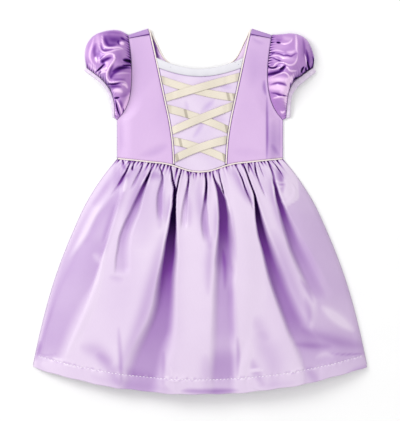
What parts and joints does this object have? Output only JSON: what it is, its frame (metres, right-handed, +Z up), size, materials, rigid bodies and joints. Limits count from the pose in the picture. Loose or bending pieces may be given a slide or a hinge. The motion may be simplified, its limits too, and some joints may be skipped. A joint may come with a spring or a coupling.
{
  "type": "princess costume dress",
  "caption": "Child's satin princess costume dress laid flat, with puff sleeves, a ribbon-laced centre front, corded seams and a full gathered skirt.",
  "frame": {"origin": "centre of the dress's outline, on the surface that it lies on", "axes": "+X across the dress towards the wearer's left sleeve, +Y from hem to shoulders, +Z up from the surface through the front of the dress"},
  "size_m": [0.5528, 0.602, 0.0387],
  "materials": {
    "bodice_satin": "lavender satin with a soft gloss",
    "panel_satin": "pale lilac satin with a soft gloss",
    "skirt_satin": "pale lavender satin with a soft gloss",
    "sleeve_satin": "deeper lavender satin, glossy",
    "band_cloth": "matte white cloth",
    "cuff_cloth": "matte pale lilac cloth",
    "gold_piping": "pale gold cord with a metallic sheen",
    "gold_ribbon": "pale gold ribbon with a soft sheen"
  },
  "bodies": {
    "root": {"back_bodice_left": "bodice_satin", "back_bodice_right": "bodice_satin", "side_front_left": "bodice_satin", "side_front_right": "bodice_satin", "centre_front": "panel_satin", "front_skirt": "skirt_satin", "back_skirt": "skirt_satin", "sleeve_left": "sleeve_satin", "sleeve_right": "sleeve_satin", "neck_band": "band_cloth", "cuff_binding_left": "cuff_cloth", "cuff_binding_right": "cuff_cloth", "princess_piping_left": "gold_piping", "princess_piping_right": "gold_piping", "waist_piping": "gold_piping", "back_neck_piping": "gold_piping", "ribbon_top_under": "gold_ribbon", "ribbon_top_over": "gold_ribbon", "ribbon_middle_under": "gold_ribbon", "ribbon_middle_over": "gold_ribbon", "ribbon_low_under": "gold_ribbon", "ribbon_low_over": "gold_ribbon"}
  },
  "joints": []
}
